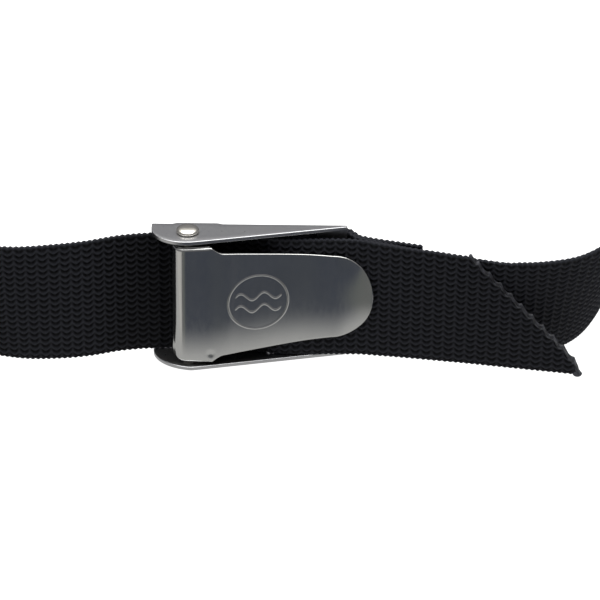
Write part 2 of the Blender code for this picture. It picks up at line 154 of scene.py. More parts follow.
# ------------------------------------------------------------------ mesh helpers
def mesh_object(name, points, quads, extra_faces=()):
    """An object from a numpy list of points and faces."""
    mesh = bpy.data.meshes.new(name)
    faces = [tuple(f) for f in np.asarray(quads).tolist()] + [tuple(f) for f in extra_faces]
    mesh.from_pydata(np.asarray(points).tolist(), [], faces)
    mesh.validate()
    mesh.shade_smooth()
    obj = bpy.data.objects.new(name, mesh)
    bpy.context.scene.collection.objects.link(obj)
    return obj


def ring_quads(columns, ring):
    """Quads of a tube of closed rings, one ring of points for each column."""
    a = np.arange(columns - 1)[:, None] * ring + np.arange(ring)[None, :]
    b = np.arange(columns - 1)[:, None] * ring + (np.arange(ring)[None, :] + 1) % ring
    return np.stack([a, b, b + ring, a + ring], -1).reshape(-1, 4)


def point_attribute(obj, name, values):
    """A vector for each point, which materials read by its name."""
    attribute = obj.data.attributes.new(name, "FLOAT_VECTOR", "POINT")
    attribute.data.foreach_set("vector", np.asarray(values, np.float32).ravel())


def catmull(points, steps):
    """A smooth centripetal Catmull-Rom curve through points of any dimension."""
    pts = np.asarray(points, float)
    pts = np.vstack([2 * pts[0] - pts[1], pts, 2 * pts[-1] - pts[-2]])
    out = []
    for a, b, c, d in zip(pts, pts[1:], pts[2:], pts[3:]):
        t1 = np.linalg.norm(b - a) ** 0.5
        t2 = t1 + np.linalg.norm(c - b) ** 0.5
        t3 = t2 + np.linalg.norm(d - c) ** 0.5
        t = (t1 + (t2 - t1) * np.arange(steps) / steps)[:, None]
        ab = a + (b - a) * t / t1
        bc = b + (c - b) * (t - t1) / (t2 - t1)
        cd = c + (d - c) * (t - t2) / (t3 - t2)
        abc = ab + (bc - ab) * t / t2
        bcd = bc + (cd - bc) * (t - t1) / (t3 - t1)
        out.append(abc + (bcd - abc) * (t - t1) / (t2 - t1))
    return np.vstack(out + [pts[-2:-1]])


def circle_arc(centre, radius, start, end, count):
    """Points on an arc between two angles in degrees."""
    angles = np.radians(np.linspace(start, end, count))
    return [(centre[0] + radius * math.cos(a), centre[1] + radius * math.sin(a)) for a in angles]


def circle(centre, radius, count):
    """Points around a full circle."""
    return circle_arc(centre, radius, 0, 360, count + 1)[:-1]


def unit(vectors):
    """The same directions with length one."""
    return vectors / np.linalg.norm(vectors, axis=-1, keepdims=True)


# ------------------------------------------------------------------ webbing
CHEVRON = 4.27           # one column of the weave, along the webbing
ROW = 2.5                # one crescent of the weave, across it
SAG = 1.85               # how far the middle of a crescent hangs below its ends
GROOVE = 0.78            # depth of a crescent
STEM = 0.10              # how much the yarns between the columns stand proud
KNOB = CHEVRON / 2       # pitch of the selvedge's knobs
KNOB_HEIGHT = 0.78
EDGE = 0.85              # width of the rounded selvedge
ROW_PHASES = (0.5, 0.7, 0.92, 1.08, 1.3)    # where a row's points are, and how deep
ROW_DEPTHS = (1.0, 0.8, 0.0, 0.0, 0.8)
EDGE_ANGLES = (-60, -30, 0, 30, 60)         # the points of a rounded selvedge, in degrees
DEEPEST = 0.8
JITTER = 0.03            # unevenness of the yarns' height, and of the rows' places
WANDER = 0.12
WANDER_PITCH = 9.0
FINE, PLAIN, FOLDED = CHEVRON / 10, CHEVRON / 4, 0.35      # pitches of the mesh along the strip
LOOP_SPAN = (330.0, 260.0)     # hidden back of the loop: its start, and its end from the tail
FOLD_SPAN = (95.0, 45.0)       # tight folds in the slots, from the tail
FOLD_FADE = (100.0, 88.0, 52.0, 46.0, 0.6)  # where the folds flatten the weave, by what share
BEAD = 0.35              # how much the melted edge of the cut stands out
BEAD_LENGTH = 1.1
# Stretches of the strip: start, full, full, end and the amount
PRESSED = (142.0, 147.0, 163.0, 168.0, 0.9)        # flattened by the cam, in mm
# The next stretch is painted shadow: the lever's shadow painted into the yarn's colour beside the buckle
LEVER_SHADOW = (120.0, 130.0, 168.0, 200.0, 0.45)        # darkened beside the buckle, as a share
TUCKED = (1368.0, 1374.0, 1412.0, 1420.0, 0.45)    # narrower behind the free end, in mm
# Drops of melted nylon at the cut's two corners: centre and radii
DROPS = (((127.3, -15.3, 1.3), (1.9, 1.2, 1.3)), ((84.4, -15.2, 51.9), (0.8, 0.9, 0.9)))
# The slanting cut: place across the strip, and along it from the route's start
CUT = ((0, 1.0), (4, 3.0), (9, 6.4), (21, 17.9), (32, 28.4), (50, 45.6))


def webbing_route():
    """Arc length, lower edge, upper edge and unit normal along the whole strip, in mm."""
    fold = tuple((x, y, FOLD_Z, x, y) for x, y in FOLD)
    stations = catmull(TONGUE + LEFT_SIDE + BACK + RIGHT_SIDE + fold + TAIL, 12)
    spread = np.hypot(stations[:, 3] - stations[:, 0], stations[:, 4] - stations[:, 1])
    rise = np.sqrt(WEB_WIDTH ** 2 - spread ** 2)
    low = stations[:, :3]
    high = np.stack([stations[:, 3], stations[:, 4], stations[:, 2] + rise], -1)
    middle = (low + high) / 2
    steps = np.linalg.norm(np.diff(middle, axis=0), axis=1)
    length = np.concatenate([[0.0], np.cumsum(steps)])
    along_low = unit(np.gradient(low, length, axis=0))
    along_high = unit(np.gradient(high, length, axis=0))
    across = high - low
    normal_low = unit(np.cross(along_low, across))
    normal_high = unit(np.cross(along_high, across))
    dip = np.abs(normal_low[:, 2]) * WEB_THICK / 2
    lift = np.maximum(0.0, dip - low[:, 2])
    low = low + np.stack([0 * lift, 0 * lift, lift], -1)
    high = high + np.stack([0 * lift, 0 * lift, lift], -1)
    return length, low, high, normal_low, normal_high


def section_points():
    """The webbing's section: rows of the front face, an edge, rows of the back face, an edge.

    Gives, for each point, its place across the strip, its place through it from -1 to 1 and
    the depth of the groove there, as a share.
    """
    rows = (np.arange(-1, WEB_WIDTH / ROW)[:, None] + np.array(ROW_PHASES)[None, :]).ravel() * ROW
    shares = np.tile(ROW_DEPTHS, len(rows) // len(ROW_DEPTHS))
    keep = (rows > EDGE) & (rows < WEB_WIDTH - EDGE)
    inside, groove = rows[keep], shares[keep]
    angles = np.radians(EDGE_ANGLES)
    top_t = WEB_WIDTH - EDGE + EDGE * np.cos(angles)
    low_t = EDGE - EDGE * np.cos(angles)
    t = np.concatenate([inside, top_t, inside[::-1], low_t])
    face, edge = np.ones(len(inside)), np.zeros(len(angles))
    through = np.concatenate([-face, np.sin(angles), face, -np.sin(angles)])
    share = np.concatenate([groove, edge, groove[::-1], edge])
    return t, through, share


def webbing_columns(total):
    """Places of the mesh's columns along the strip, close together where the buckle is."""
    full = CUT[-1][1] + 8.0
    loop_start, loop_end = LOOP_SPAN[0], total - LOOP_SPAN[1]
    fold_start, fold_end = total - FOLD_SPAN[0], total - FOLD_SPAN[1]
    spans = ((full, loop_start, FINE), (loop_start, loop_end, PLAIN), (loop_end, fold_start, FINE),
             (fold_start, fold_end, FOLDED), (fold_end, total, FINE))
    places = [np.arange(a, b, step) for a, b, step in spans]
    return full, np.concatenate(places + [[total]])


def stretch(s, start, rise, fall, end, amount):
    """An amount that holds from rise to fall along the strip and fades out on both sides."""
    return amount * smooth(start, rise, s) * (1 - smooth(fall, end, s))


def cut_line(t):
    """Where the slanting cut is along the strip, at a place across it."""
    curve = catmull(CUT, 10)
    return np.interp(t, curve[:, 0], curve[:, 1])


def webbing_grid(t, total):
    """Where each point of the mesh is along the strip, where the cut is, and the sealed columns.

    The first columns fan out from the slanting cut to the first straight column.
    """
    full, regular = webbing_columns(total)
    share = np.concatenate([np.linspace(0.0, 0.03, 6)[:-1], np.linspace(0.03, 1.0, 103)[:-1]])
    start = cut_line(t)[None, :]
    fan = start + (full - start) * share[:, None]
    sealed = int(np.sum(share * (full - CUT[2][1]) < BEAD_LENGTH))
    return np.vstack([fan, np.repeat(regular[:, None], len(t), 1)]), start, sealed


def weave_places(s, t, at_edge, swing, inner, rng):
    """Places across the strip: crescents that hang inside it and knobs on its selvedges."""
    wander_at = np.arange(0, s.max() + 40, WANDER_PITCH)
    wander = np.interp(s, wander_at, rng.normal(0, WANDER, len(wander_at)))
    place = t[None, :] + (SAG * (swing ** 2 - 0.4) + wander) * inner
    knob = np.abs(np.sin(math.pi * s / KNOB)) ** 0.7
    outward = np.sign(t - WEB_WIDTH / 2)[None, :]
    edge_shift = KNOB_HEIGHT * (knob - 0.55) - stretch(s, *TUCKED)
    return np.where(at_edge, place + outward * edge_shift, place)


def weave_depths(s, groove, swing, inner, rng):
    """How deep the weave is below the strip's face, and its painted shade there, as a share."""
    # Painted shade in the grooves, strongest on the flanks of each crescent
    crescent = (1 - swing ** 4) * (0.6 + 0.4 * np.sin(math.pi * swing))
    shade = groove[None, :] * (0.3 + 0.7 * crescent)
    depth = shade * GROOVE * (0.3 + 0.7 * inner) + STEM * smooth(1.0, 0.6, swing) * (inner > 0)
    jitter = rng.normal(0, JITTER, (len(s) // 4 + 2, s.shape[1]))
    depth = np.clip(depth + np.repeat(jitter, 4, 0)[:len(s)] * inner, 0.0, DEEPEST)
    zone = [s.max() - place for place in FOLD_FADE[:4]]
    return depth * (1 - stretch(s, *zone, FOLD_FADE[4])), shade


def melt_cut(s, start, t, depth, rng):
    """Places and depths with the cut's melted, lumpy edge."""
    melted = np.exp(-((s - start) / BEAD_LENGTH) ** 2)
    lumps = np.interp(t, np.arange(0, 60, 0.8), rng.uniform(0.3, 1.0, 75))[None, :]
    depth = depth * (1 - melted) - BEAD * lumps * melted
    return s + (lumps - 0.6) * 0.6 * melted, depth


def strip_points(route, s, place, offset):
    """Positions of points given by their places along, across and through the strip, in mm."""
    length = route[0]
    low, high, normal_low, normal_high = [
        np.stack([np.interp(s, length, curve[:, i]) for i in range(3)], -1) for curve in route[1:]]
    across = (place / WEB_WIDTH)[..., None]
    base = low * (1 - across) + high * across
    normal = normal_low * (1 - across) + normal_high * across
    points = base + normal * offset[..., None] + (BUCKLE_X, BUCKLE_Y, 0.0)
    points[..., 2] = np.maximum(points[..., 2], 0.0)
    return points.reshape(-1, 3)


def strip_caps(columns, ring):
    """Faces that close the strip's two ends."""
    edge = len(EDGE_ANGLES)
    face = ring // 2 - edge
    caps = []
    for first in (0, (columns - 1) * ring):
        front = [first + i for i in range(face)]
        back = [first + 2 * face + edge - 1 - i for i in range(face)]
        caps += [(front[i], front[i + 1], back[i + 1], back[i]) for i in range(face - 1)]
        top = [first + face + i for i in range(edge)]
        bottom = [first + 2 * face + edge + i for i in range(edge)]
        caps.append([front[-1]] + top + [back[-1]])
        caps.append([back[0]] + bottom + [front[0]])
    return caps


def blob(centre, radii, first):
    """Points and faces of a small ellipsoid, numbered from first, for a melted drop."""
    rows, sides = 7, 10
    polar = np.linspace(0.15, math.pi - 0.15, rows)[:, None]
    turn = np.linspace(0, 2 * math.pi, sides, endpoint=False)[None, :]
    ball = np.stack([np.sin(polar) * np.cos(turn), np.sin(polar) * np.sin(turn),
                     np.cos(polar) * np.ones_like(turn)], -1).reshape(-1, 3)
    last = first + (rows - 1) * sides
    ends = [tuple(range(first, first + sides)), tuple(range(last, last + sides))]
    quads = [tuple(q) for q in (ring_quads(rows, sides) + first).tolist()]
    return np.array(centre) + ball * np.array(radii), quads + ends


def make_webbing(mat, cut_mat):
    """The whole strip, with its weave, its sealed cut and the two drops on it."""
    route = webbing_route()
    t, through, groove = section_points()
    s, start, sealed = webbing_grid(t, route[0][-1])
    rng = np.random.default_rng(7)
    swing = np.abs((s / CHEVRON) % 1.0 - 0.5) * 2
    inner = smooth(0.2, 2.0, np.minimum(t, WEB_WIDTH - t))[None, :]
    at_edge = (groove[None, :] == 0) & (np.abs(through)[None, :] < 0.99)
    place = weave_places(s, t, at_edge, swing, inner, rng)
    depth, shade = weave_depths(s, groove, swing, inner, rng)
    s, depth = melt_cut(s, start, t, depth, rng)
    pressed = (1 - through[None, :]) / 2 * stretch(s, *PRESSED)
    offset = through[None, :] * (WEB_THICK / 2 - depth) + pressed
    points = strip_points(route, s, place, offset)
    # Painted shadow of the lever beside the buckle, added to the painted shade of the grooves
    shade = np.clip(shade + stretch(s, *LEVER_SHADOW), 0.0, 1.0)
    # The weave attribute's third value is the painted shade that the nylon materials mix in
    weave = np.stack([s * MM, np.repeat(t[None, :], len(s), 0) * MM, shade], -1).reshape(-1, 3)

    quads = ring_quads(len(s), len(t))
    caps = strip_caps(len(s), len(t))
    drops = []
    for (x, y, z), radii in DROPS:
        nub, faces = blob((BUCKLE_X + x, BUCKLE_Y + y, z), radii, len(points))
        points = np.vstack([points, nub])
        weave = np.vstack([weave, nub * MM * (1, 1, 0)])
        drops += faces
    obj = mesh_object("nylon_webbing", points * MM, quads, caps + drops)
    point_attribute(obj, "weave", weave)
    obj.data.materials.append(mat)
    obj.data.materials.append(cut_mat)
    slots = np.zeros(len(obj.data.polygons), np.int32)
    slots[:len(t) * sealed] = 1
    slots[len(quads):len(quads) + len(caps) // 2] = 1
    slots[len(quads) + len(caps):] = 1
    obj.data.polygons.foreach_set("material_index", slots)
    return obj


# ------------------------------------------------------------------ materials
def new_material(name):
    """A material with its node tree, as material, nodes and links."""
    mat = bpy.data.materials.new(name)
    mat.use_nodes = True
    return mat, mat.node_tree.nodes, mat.node_tree.links


def nylon_material(name, yarn, hollow_shade, roughness, shine):
    """Yarn with its fibres along the rows, with painted shade darkening it down in the grooves."""
    mat, nodes, links = new_material(name)
    shader = nodes["Principled BSDF"]
    shader.inputs["Roughness"].default_value = roughness
    shader.inputs["Specular IOR Level"].default_value = shine
    attribute = nodes.new("ShaderNodeAttribute")
    attribute.attribute_name = "weave"
    split = nodes.new("ShaderNodeSeparateXYZ")
    links.new(attribute.outputs["Vector"], split.inputs["Vector"])
    # Painted shade: the weave's third value mixes the yarn's colour towards the dark groove colour
    tint = nodes.new("ShaderNodeMixRGB")
    tint.inputs["Color1"].default_value = (*yarn, 1)
    tint.inputs["Color2"].default_value = (*hollow_shade, 1)
    links.new(split.outputs["Z"], tint.inputs["Fac"])
    links.new(tint.outputs["Color"], shader.inputs["Base Color"])
    fibre = nodes.new("ShaderNodeVectorMath")
    fibre.operation = "MULTIPLY"
    fibre.inputs[1].default_value = (600.0, 9000.0, 0.0)
    links.new(attribute.outputs["Vector"], fibre.inputs[0])
    noise = nodes.new("ShaderNodeTexNoise")
    noise.inputs["Scale"].default_value = 1.0
    noise.inputs["Detail"].default_value = 2
    links.new(fibre.outputs["Vector"], noise.inputs["Vector"])
    bump = nodes.new("ShaderNodeBump")
    bump.inputs["Strength"].default_value = 0.4
    bump.inputs["Distance"].default_value = 0.0001
    links.new(noise.outputs["Fac"], bump.inputs["Height"])
    links.new(bump.outputs["Normal"], shader.inputs["Normal"])
    return mat


def steel_material(name, colour, roughness, grain):
    """Stainless steel with a fine grain along it and a faintly clouded colour."""
    mat, nodes, links = new_material(name)
    shader = nodes["Principled BSDF"]
    shader.inputs["Metallic"].default_value = 1.0
    coords = nodes.new("ShaderNodeTexCoord")
    mapping = nodes.new("ShaderNodeMapping")
    mapping.inputs["Scale"].default_value = (1.0, 1.0, grain)
    links.new(coords.outputs["Object"], mapping.inputs["Vector"])
    noise = nodes.new("ShaderNodeTexNoise")
    noise.inputs["Scale"].default_value = 900
    noise.inputs["Detail"].default_value = 4
    links.new(mapping.outputs["Vector"], noise.inputs["Vector"])
    rough = nodes.new("ShaderNodeMapRange")
    rough.inputs["To Min"].default_value = roughness - 0.06
    rough.inputs["To Max"].default_value = roughness + 0.06
    links.new(noise.outputs["Fac"], rough.inputs["Value"])
    links.new(rough.outputs["Result"], shader.inputs["Roughness"])
    cloud = nodes.new("ShaderNodeTexNoise")
    cloud.inputs["Scale"].default_value = 60
    links.new(coords.outputs["Object"], cloud.inputs["Vector"])
    tint = nodes.new("ShaderNodeMixRGB")
    tint.inputs["Color1"].default_value = (*[c * 0.93 for c in colour], 1)
    tint.inputs["Color2"].default_value = (*[min(1.0, c * 1.07) for c in colour], 1)
    links.new(cloud.outputs["Fac"], tint.inputs["Fac"])
    links.new(tint.outputs["Color"], shader.inputs["Base Color"])
    bump = nodes.new("ShaderNodeBump")
    bump.inputs["Strength"].default_value = 0.12
    bump.inputs["Distance"].default_value = 0.00005
    links.new(noise.outputs["Fac"], bump.inputs["Height"])
    links.new(bump.outputs["Normal"], shader.inputs["Normal"])
    return mat


def plain_material(name, colour, roughness, emission):
    """A matt surface that can also glow in its own colour."""
    mat, nodes, _ = new_material(name)
    shader = nodes["Principled BSDF"]
    shader.inputs["Base Color"].default_value = (*colour, 1)
    shader.inputs["Roughness"].default_value = roughness
    shader.inputs["Emission Color"].default_value = (*colour, 1)
    shader.inputs["Emission Strength"].default_value = emission
    return mat


# ------------------------------------------------------------------ cam lever
PIN_HOLE_RADIUS = 2.8
CAM_RADIUS = 4.6
LIP_END_ANGLE = 276.0
BEND_RADIUS = 4.1
BEND_H = 11.4
TAB_HALF_WIDTH = 24.7
TAB_END_U = 23.0
NECK = (28.5, 22.0)
TIP_CENTRE_U = 69.5
TIP_HALF_WIDTH = 17.7
LEVER_TIP_U = 85.2
LEVER_SKEW = 0.6         # how far the tip leans up, by the hinge's play
LEVER_FACE = ((85.2, 8.75), (80.0, 8.0), (73.0, 7.6), (67.0, 7.65), (61.0, 8.0), (57.0, 8.5),
              (49.3, 9.85), (41.7, 11.4), (34.0, 13.0), (28.5, 14.3), (23.0, 15.1), (13.5, 15.5))
TEETH = 13
TOOTH_DEPTH = 1.1
STAMP_U = 41.0
STAMP_RADIUS = 11.5
LINE_HALF = 0.32         # half width and height of the mark's raised lines
LINE_HEIGHT = 0.2
WAVES = (-2.6, 2.6)      # places across of the two waves, their height and their length
WAVE_HEIGHT, WAVE_LENGTH = 1.5, 9.0
TAB_FLARE = 0.3
INNER_CORNER = 0.35
# The roll's bulge to the left: how far at each place across the lever
BULGE_V = (-24.7, -23.0, -20.5, -16.7, -10.0, 0.0, 14.0, 24.7)
BULGE = (0.1, -1.2, -1.55, -1.55, -1.5, -1.45, -1.4, -1.3)
DENT = (22.8, -21.2, 1.0, 0.5)         # u, v, radius and depth of a knock in the edge
TIP_DOME = 0.0055        # how fast the tip falls away to its sides


def lever_half_width(u):
    """Half the lever's width along it: the tip, the taper, the shoulder and the tab."""
    past = (u - TIP_CENTRE_U) / (LEVER_TIP_U - TIP_CENTRE_U)
    tip = TIP_HALF_WIDTH * np.sqrt(np.clip(1 - past ** 2, 0, 1))
    taper = NECK[1] + (TIP_HALF_WIDTH - NECK[1]) * (u - NECK[0]) / (TIP_CENTRE_U - NECK[0])
    widest = TAB_HALF_WIDTH + TAB_FLARE
    part = np.clip((u - TAB_END_U) / (NECK[0] - TAB_END_U), 0, 1)
    shoulder = widest + (NECK[1] - widest) * np.sin(part * math.pi / 2)
    tab = TAB_HALF_WIDTH + TAB_FLARE * (2 * np.clip((u - 9.0) / (TAB_END_U - 9.0), 0, 1) - 1)
    return np.select([u > TIP_CENTRE_U, u > NECK[0], u > TAB_END_U], [tip, taper, shoulder], tab)


def lever_path():
    """Outer face of the lever in side view as (u, h) stations, from the tip to the lip."""
    face = catmull(LEVER_FACE, 20)[:-1]
    order = np.argsort(face[:, 0])
    theta = np.radians(np.linspace(88.5, 0, 34))
    tip_u = TIP_CENTRE_U + (LEVER_TIP_U - TIP_CENTRE_U) * np.sin(theta)
    low, high = STAMP_U - STAMP_RADIUS - 1.5, STAMP_U + STAMP_RADIUS + 1.5
    spans = ((TIP_CENTRE_U - 1.0, high, -1.0), (high, low, -0.19), (low, 13.9, -0.6))
    u = np.concatenate([tip_u] + [np.arange(*span) for span in spans])
    h = np.interp(u, face[order, 0], face[order, 1])
    bend = circle_arc((PIN_U - CAM_RADIUS + BEND_RADIUS, BEND_H), BEND_RADIUS, 90, 180, 17)
    cam = circle_arc((PIN_U, PIN_H), CAM_RADIUS, 180, LIP_END_ANGLE, 20)
    return np.vstack([np.stack([u, h], -1), bend, cam])


def stamp_height(u, v):
    """Height of the raised mark: a ring with two wave lines in it."""
    radius = np.hypot(u - STAMP_U, v)
    lines = [np.abs(radius - STAMP_RADIUS)]
    for level in WAVES:
        wave = level + WAVE_HEIGHT * np.sin((u - STAMP_U) * 2 * math.pi / WAVE_LENGTH)
        gap = np.abs(v - wave) / 1.25
        lines.append(np.where(radius < STAMP_RADIUS - 2.4, gap, 9.0))
    distance = np.min(lines, axis=0)
    return LINE_HEIGHT * np.sqrt(np.clip(1 - (distance / LINE_HALF) ** 2, 0, 1))


def lever_across():
    """Places across the lever as shares of its half width, dense under the mark."""
    side = np.linspace(0.60, 1, 16)
    return np.concatenate([-side[:0:-1], np.linspace(-0.60, 0.60, 134), side[1:]])


def lever_section(half, corner, across):
    """Closed section of the lever: places across it and depths below its outer face."""
    r, r_in = min(corner, half * 0.4), min(INNER_CORNER, half * 0.4)
    angles = np.radians([0, 22.5, 45, 67.5, 90])
    outer = [(v, 0.0) for v in across * (half - r)]
    edge = [(half - r + r * math.sin(a), r - r * math.cos(a)) for a in angles[1:]]
    edge += [(half - r_in + r_in * math.cos(a), SHEET - r_in + r_in * math.sin(a)) for a in angles]
    inner = [(v, SHEET) for v in (across * (half - r_in))[::-1][1:-1]]
    return outer + edge + inner + [(-v, d) for v, d in edge[::-1]]


def lever_relief(u, v, depth):
    """Depths with the raised mark, the knock in the edge, the rounded end and the domed tip."""
    raised = np.where(depth == 0.0, stamp_height(u, v), 0.0)
    knock = DENT[3] * np.exp(-((u - DENT[0]) ** 2 + (v - DENT[1]) ** 2) / DENT[2] ** 2)
    depth = depth - raised + knock * (depth < SHEET / 2)
    end_round = np.clip(np.arange(len(u)) / 5.0, 0, 1)[:, None]
    depth = SHEET / 2 + (depth - SHEET / 2) * np.sqrt(1 - (1 - end_round) ** 2 * 0.75)
    return depth + TIP_DOME * v ** 2 * smooth(70.0, 83.0, u)


def teeth_reach(v):
    """How far the cam's teeth reach past the edge of its lip, on the last rings of points."""
    count = len(v)
    tooth = np.abs(((v + TAB_HALF_WIDTH) * TEETH / (2 * TAB_HALF_WIDTH)) % 1.0 - 0.5) * 2
    return smooth(count - 4, count - 1, np.arange(count))[:, None] * TOOTH_DEPTH * (1 - tooth)


def make_lever(mat):
    """The pressed lever: its section swept from the tip, over the roll and down to the teeth."""
    path = lever_path()
    u0, h0 = path[:, :1], path[:, 1:]
    along = unit(np.gradient(path, axis=0))
    corner = INNER_CORNER + 0.9 * (1 - smooth(TAB_END_U - 0.6, TAB_END_U + 0.6, path[:, 0]))
    corner = np.where(path[:, 0] > TAB_END_U, np.minimum(corner, SHEET * 0.48), corner)
    across, halves = lever_across(), lever_half_width(path[:, 0])
    section = np.array([lever_section(half, r, across) for half, r in zip(halves, corner)])
    v, depth = section[..., 0], section[..., 1]
    depth = lever_relief(np.broadcast_to(u0, v.shape), v, depth)
    reach = teeth_reach(v)
    u = u0 - along[:, 1:] * depth + along[:, :1] * reach
    h = h0 + along[:, :1] * depth + along[:, 1:] * reach
    rolled = smooth(17.0, 10.0, u0) * smooth(3.0, 8.0, h0) * (1 - 0.45 * smooth(10.8, 12.8, h0))
    u = u + np.interp(v, BULGE_V, BULGE) * rolled
    lean = LEVER_SKEW * np.maximum(0.0, u0 - NECK[0]) / (LEVER_TIP_U - NECK[0])
    points = np.stack([BUCKLE_X + u - FRAME_LENGTH / 2, BUCKLE_Y - h, BUCKLE_Z + v + lean], -1)
    count, ring = v.shape
    ends = [list(range(ring)), list(range((count - 1) * ring, count * ring))]
    obj = mesh_object("lever_plate", points.reshape(-1, 3) * MM, ring_quads(count, ring), ends)
    obj.data.materials.append(mat)
    return obj


def flat_solid(name, outline, to_point, low, high):
    """A plate with the given outline, between two values of its third coordinate."""
    count = len(outline)
    points = [to_point(a, b, level) for level in (low, high) for a, b in outline]
    around = [(i, (i + 1) % count, count + (i + 1) % count, count + i) for i in range(count)]
    ends = [tuple(range(count))[::-1], tuple(range(count, 2 * count))]
    obj = mesh_object(name, points, around, ends)
    fix_normals(obj)
    return obj


def fix_normals(obj):
    """Turn every face outwards."""
    bm = bmesh.new()
    bm.from_mesh(obj.data)
    bmesh.ops.recalc_face_normals(bm, faces=bm.faces)
    bm.to_mesh(obj.data)
    bm.free()


def cut(obj, cutters):
    """Cut the other solids out of an object and remove them."""
    for cutter in cutters:
        modifier = obj.modifiers.new("cut", "BOOLEAN")
        modifier.operation = "DIFFERENCE"
        modifier.solver = "EXACT"
        modifier.object = cutter
    bake_modifiers(obj)
    for cutter in cutters:
        bpy.data.objects.remove(cutter)


def bake_modifiers(obj):
    """Apply an object's modifiers to its mesh."""
    graph = bpy.context.evaluated_depsgraph_get()
    mesh = bpy.data.meshes.new_from_object(obj.evaluated_get(graph))
    obj.modifiers.clear()
    obj.data = mesh


def round_edges(obj, width):
    """Round the sharp edges of a solid."""
    modifier = obj.modifiers.new("rounded", "BEVEL")
    modifier.width = width
    modifier.segments = 2
    modifier.limit_method = "ANGLE"
    modifier.angle_limit = math.radians(50)
    bake_modifiers(obj)


def side_point(u, h, v):
    """World position of a point of a side view, at v across the buckle."""
    return buckle_point(u, v, h)


def pin_hole_cutter(length):
    """A round bar along the hinge's axis."""
    return flat_solid("hole", circle((PIN_U, PIN_H), PIN_HOLE_RADIUS, 48), side_point, -length, length)


def make_cheek(name, side, mat):
    """One cheek of the lever, which the pin runs through."""
    path = lever_path()
    along = unit(np.gradient(path, axis=0))
    middle = path + np.stack([-along[:, 1], along[:, 0]], -1) * SHEET / 2
    edge = [tuple(p) for p in middle if p[0] < TAB_END_U and p[1] > PIN_H - CAM_RADIUS]
    back = circle_arc((PIN_U, PIN_H), CAM_RADIUS - 0.2, -78, 25, 12)
    outline = edge + back + [(TAB_END_U - 0.2, PIN_H + 5.2), (TAB_END_U - 0.1, PIN_H + 6.4)]
    outside = TAB_HALF_WIDTH - TAB_FLARE / 2
    faces = sorted((side * outside, side * (outside - SHEET)))
    cheek = flat_solid(name, outline, side_point, *faces)
    cut(cheek, [pin_hole_cutter(FRAME_HALF * 2)])
    round_edges(cheek, 0.25 * MM)
    cheek.data.set_sharp_from_angle(angle=math.radians(40))
    cheek.data.materials.append(mat)
    return cheek


# ------------------------------------------------------------------ frame and pin
FRAME_BEND = 1.7         # outer radius between base and ear
EAR_HEIGHT = 16.8
UPPER_NOSE = (13.0, 12.0)     # radii of the rounded left end of each ear
LOWER_NOSE = (17.5, 15.3)
EAR_TAPER_FROM = 15.4
EAR_END_HEIGHT = 2.4
TROUGH = (7.6, 9.9, 25.1, 27.4)
SLOTS = ((44.5, 50.0), (58.0, 63.5))
SLOT_LENGTH = 52.2
FRAME_RAISE = 0.3        # how far the frame stands up against the lever, by the hinge's play
DEBURR = 0.3             # rounding of the sheet's edges, and its profile as shares
DEBURR_STEPS = np.array([1.0, 0.62, 0.29, 0.08, 0.0])
SHANK_RADIUS = 2.5
HEAD_RADIUS = 4.4
UPPER_HEAD = 2.2
LOWER_HEAD = 1.2


def ear_top(u, radii):
    """Height of an ear's free edge along the frame, by the radii of its rounded end."""
    share = 1 - min(u / radii[0], 1.0)
    nose = EAR_HEIGHT - radii[1] + radii[1] * math.sqrt(1 - share ** 2)
    fall = (EAR_HEIGHT - EAR_END_HEIGHT) / (FRAME_LENGTH - EAR_TAPER_FROM)
    taper = EAR_HEIGHT - fall * max(0.0, u - EAR_TAPER_FROM)
    soft = 0.12 * math.exp(-((u - EAR_TAPER_FROM) / 2.5) ** 2)
    return min(nose, taper - soft)


def half_channel(top, drop):
    """Middle of the sheet from the centre line to an ear's edge: places, normals, thickness."""
    radius = FRAME_BEND - SHEET / 2
    centre = (FRAME_HALF - FRAME_BEND, FRAME_BEND - drop)
    limit = math.pi / 2 if top > centre[1] else math.acos(min(1.0, (centre[1] - top) / radius))
    angles = np.linspace(0, limit, 9)
    flat = [((v, SHEET / 2 - drop), (0, -1)) for v in np.linspace(0, centre[0], 6)[:-1]]
    bend = [((centre[0] + radius * math.sin(a), centre[1] - radius * math.cos(a)),
             (math.sin(a), -math.cos(a))) for a in angles]
    end_v, start_h = bend[-1][0]
    height = max(top - start_h, 0.02)
    rises = np.concatenate([np.linspace(0, 1, 6)[1:-1] * (height - DEBURR),
                            height - DEBURR * DEBURR_STEPS])
    thin = np.concatenate([np.zeros(len(rises) - 4), DEBURR * DEBURR_STEPS[-2::-1]])
    ear = [((end_v, start_h + max(r, 0.0)), bend[-1][1]) for r in rises]
    whole = flat + bend + ear
    places = np.array([p for p, _ in whole])
    normals = np.array([n for _, n in whole])
    thickness = SHEET / 2 - np.concatenate([np.zeros(len(whole) - len(thin)), thin])
    return places, normals, thickness


def frame_ring(u, inset):
    """Closed section of the pressed channel at u, its skin moved in by inset."""
    rise = np.interp(u, TROUGH, (0, 1, 1, 0))
    drop = TROUGH_DEPTH * float(smooth(0, 1, rise))
    faces = []
    for radii, mirror in ((LOWER_NOSE, (-1.0, 1.0)), (UPPER_NOSE, (1.0, 1.0))):
        places, normals, thickness = half_channel(ear_top(u, radii) - inset, drop)
        t = np.maximum(thickness - inset, 0.05)[:, None]
        faces += [(places + normals * t) * mirror, (places - normals * t) * mirror]
    low_outer, low_inner, outer, inner = faces
    ring = np.vstack([low_outer[:0:-1], outer, inner[::-1], low_inner[1:]])
    return [tuple(buckle_point(u, v, h)) for v, h in ring]


